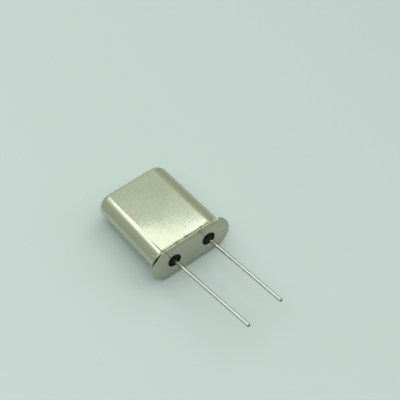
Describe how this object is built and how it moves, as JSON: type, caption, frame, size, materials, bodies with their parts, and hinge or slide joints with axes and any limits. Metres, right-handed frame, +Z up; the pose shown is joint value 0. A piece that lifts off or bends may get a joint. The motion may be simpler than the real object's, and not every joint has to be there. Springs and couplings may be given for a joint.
{
  "type": "crystal oscillator",
  "caption": "Quartz crystal in a flat oval welded metal can, with glass-sealed wire leads and a coated quartz disc held in spring clips inside.",
  "frame": {"origin": "middle of the seating face, the flat face of the base that meets the circuit board, between the leads", "axes": "lies on one wide side as it comes to rest: +Y towards the closed end of the can, the leads run towards -Y, +X along the width of the can, +Z up"},
  "size_m": [0.011, 0.0259, 0.0046],
  "materials": {
    "can_plating": "satin nickel plate on drawn sheet",
    "base_plating": "smooth satin nickel plate",
    "seal_glass": "glossy black sealing glass",
    "lead_wire": "bright plated wire",
    "clip_strip": "plain rolled spring strip",
    "quartz": "clear, finely lapped",
    "electrode_film": "evaporated silver film",
    "conductive_adhesive": "matt silver-filled adhesive"
  },
  "bodies": {
    "root": {"can": "can_plating", "base": "base_plating", "glass_bead_left": "seal_glass", "glass_bead_right": "seal_glass", "lead_left": "lead_wire", "lead_right": "lead_wire", "clip_left": "clip_strip", "clip_right": "clip_strip", "quartz_blank": "quartz", "front_electrode": "electrode_film", "back_electrode": "electrode_film", "bond_left": "conductive_adhesive", "bond_right": "conductive_adhesive"}
  },
  "joints": []
}
